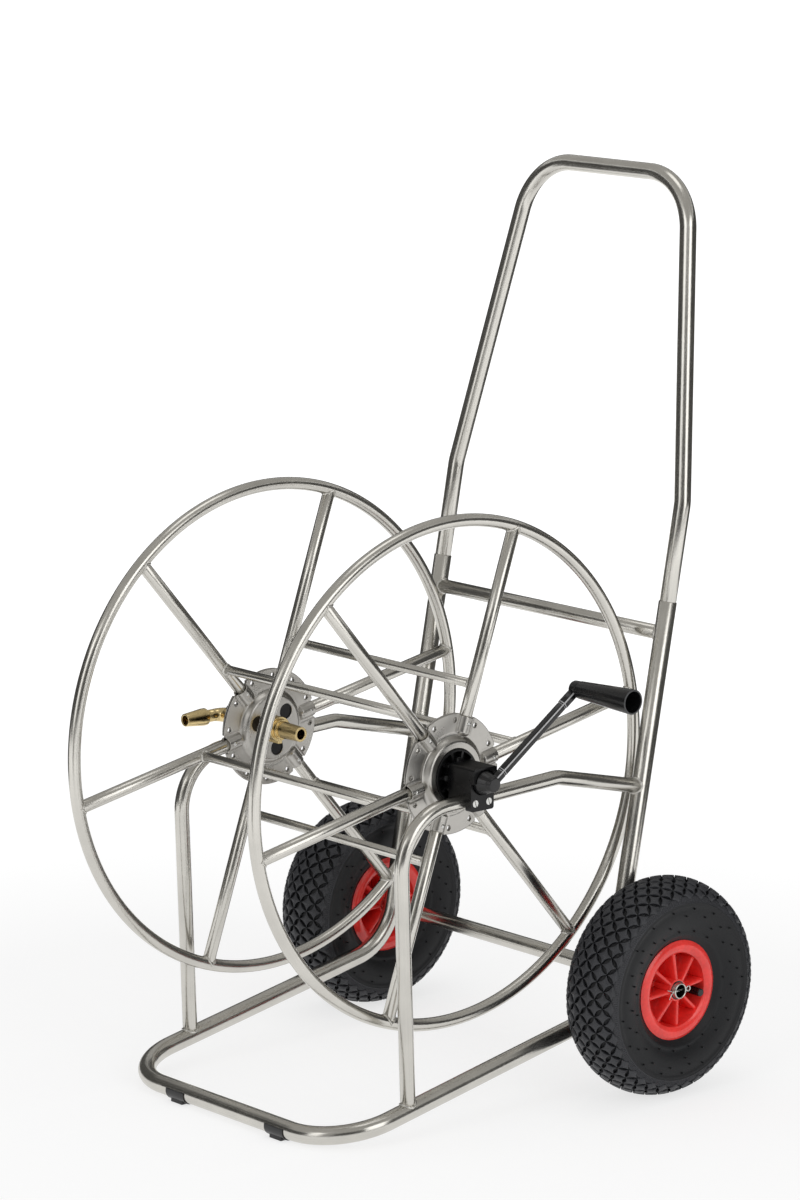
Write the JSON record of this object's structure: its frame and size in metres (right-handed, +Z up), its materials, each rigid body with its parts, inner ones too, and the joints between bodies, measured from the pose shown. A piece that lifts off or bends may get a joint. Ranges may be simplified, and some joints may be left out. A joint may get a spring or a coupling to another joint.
{
  "type": "garden hose reel cart",
  "caption": "Bent tube cart on pneumatic wheels with a spoked hose reel, wound by a side crank and fed by a brass swivel, for winding and moving a garden hose.",
  "frame": {"origin": "on the floor, at the middle of the rectangle that the cart fills from above", "axes": "+X along the axle towards the crank, +Y to the rear where the handle is, +Z up"},
  "size_m": [0.6156, 0.7071, 1.0676],
  "materials": {
    "stainless_tube": "satin",
    "hub_steel": "matte",
    "zinc_steel": "satin",
    "black_plastic": "satin",
    "brass": "satin",
    "tyre_rubber": "matte",
    "black_rubber": "matte",
    "red_plastic": "gloss"
  },
  "bodies": {
    "frame": {"frame_tube": "stainless_tube", "handle": "stainless_tube", "rear_crossbar": "stainless_tube", "axle": "stainless_tube", "wheel_spacers": "zinc_steel", "foot_clip_left": "black_plastic", "foot_clip_right": "black_plastic", "support_arm_left": "stainless_tube", "support_arm_right": "stainless_tube", "bracket_left": "black_plastic", "bracket_right": "black_plastic", "bracket_screws_left": "zinc_steel", "bracket_screws_right": "zinc_steel", "split_pin_left": "zinc_steel", "split_pin_right": "zinc_steel"},
    "reel": {"reel_ring_left": "stainless_tube", "reel_ring_right": "stainless_tube", "spoke_left_1": "stainless_tube", "spoke_left_2": "stainless_tube", "spoke_left_3": "stainless_tube", "spoke_left_4": "stainless_tube", "spoke_left_5": "stainless_tube", "spoke_left_6": "stainless_tube", "spoke_right_1": "stainless_tube", "spoke_right_2": "stainless_tube", "spoke_right_3": "stainless_tube", "spoke_right_4": "stainless_tube", "spoke_right_5": "stainless_tube", "spoke_right_6": "stainless_tube", "drum_bar_1": "stainless_tube", "drum_bar_2": "stainless_tube", "drum_bar_3": "stainless_tube", "drum_bar_4": "stainless_tube", "drum_bar_5": "stainless_tube", "drum_bar_6": "stainless_tube", "hub_plate_left_outer": "hub_steel", "hub_plate_left_inner": "hub_steel", "hub_plate_right_outer": "hub_steel", "hub_plate_right_inner": "hub_steel", "hub_rivets": "zinc_steel", "hub_core_left": "black_plastic", "hub_core_right": "black_plastic", "crank_shaft": "zinc_steel", "crank_arm": "black_plastic", "grip_pin": "zinc_steel", "swivel_spindle": "brass", "outlet_tail": "brass"},
    "crank_grip": {"grip": "black_plastic"},
    "inlet": {"inlet_elbow": "brass", "swivel_seals": "black_rubber"},
    "wheel_left": {"tyre_left": "tyre_rubber", "inner_tube_left": "black_rubber", "valve_left": "black_rubber", "wheel_rim_left": "red_plastic", "wheel_bushes_left": "black_plastic"},
    "wheel_right": {"tyre_right": "tyre_rubber", "inner_tube_right": "black_rubber", "valve_right": "black_rubber", "wheel_rim_right": "red_plastic", "wheel_bushes_right": "black_plastic"}
  },
  "joints": [
    {"name": "reel_spin", "type": "hinge", "parent": "frame", "child": "reel", "pos_m": [-0.0125, -0.05476, 0.40491], "axis": [1, 0, 0], "continuous": true},
    {"name": "grip_spin", "type": "hinge", "parent": "reel", "child": "crank_grip", "pos_m": [0.2475, 0.07727, 0.49599], "axis": [1, 0, 0], "continuous": true},
    {"name": "inlet_swivel", "type": "hinge", "parent": "frame", "child": "inlet", "pos_m": [-0.2425, -0.05476, 0.40491], "axis": [1, 0, 0], "continuous": true},
    {"name": "wheel_left_spin", "type": "hinge", "parent": "frame", "child": "wheel_left", "pos_m": [-0.2668, 0.1929, 0.13], "axis": [1, 0, 0], "continuous": true},
    {"name": "wheel_right_spin", "type": "hinge", "parent": "frame", "child": "wheel_right", "pos_m": [0.2418, 0.1929, 0.13], "axis": [1, 0, 0], "continuous": true}
  ]
}
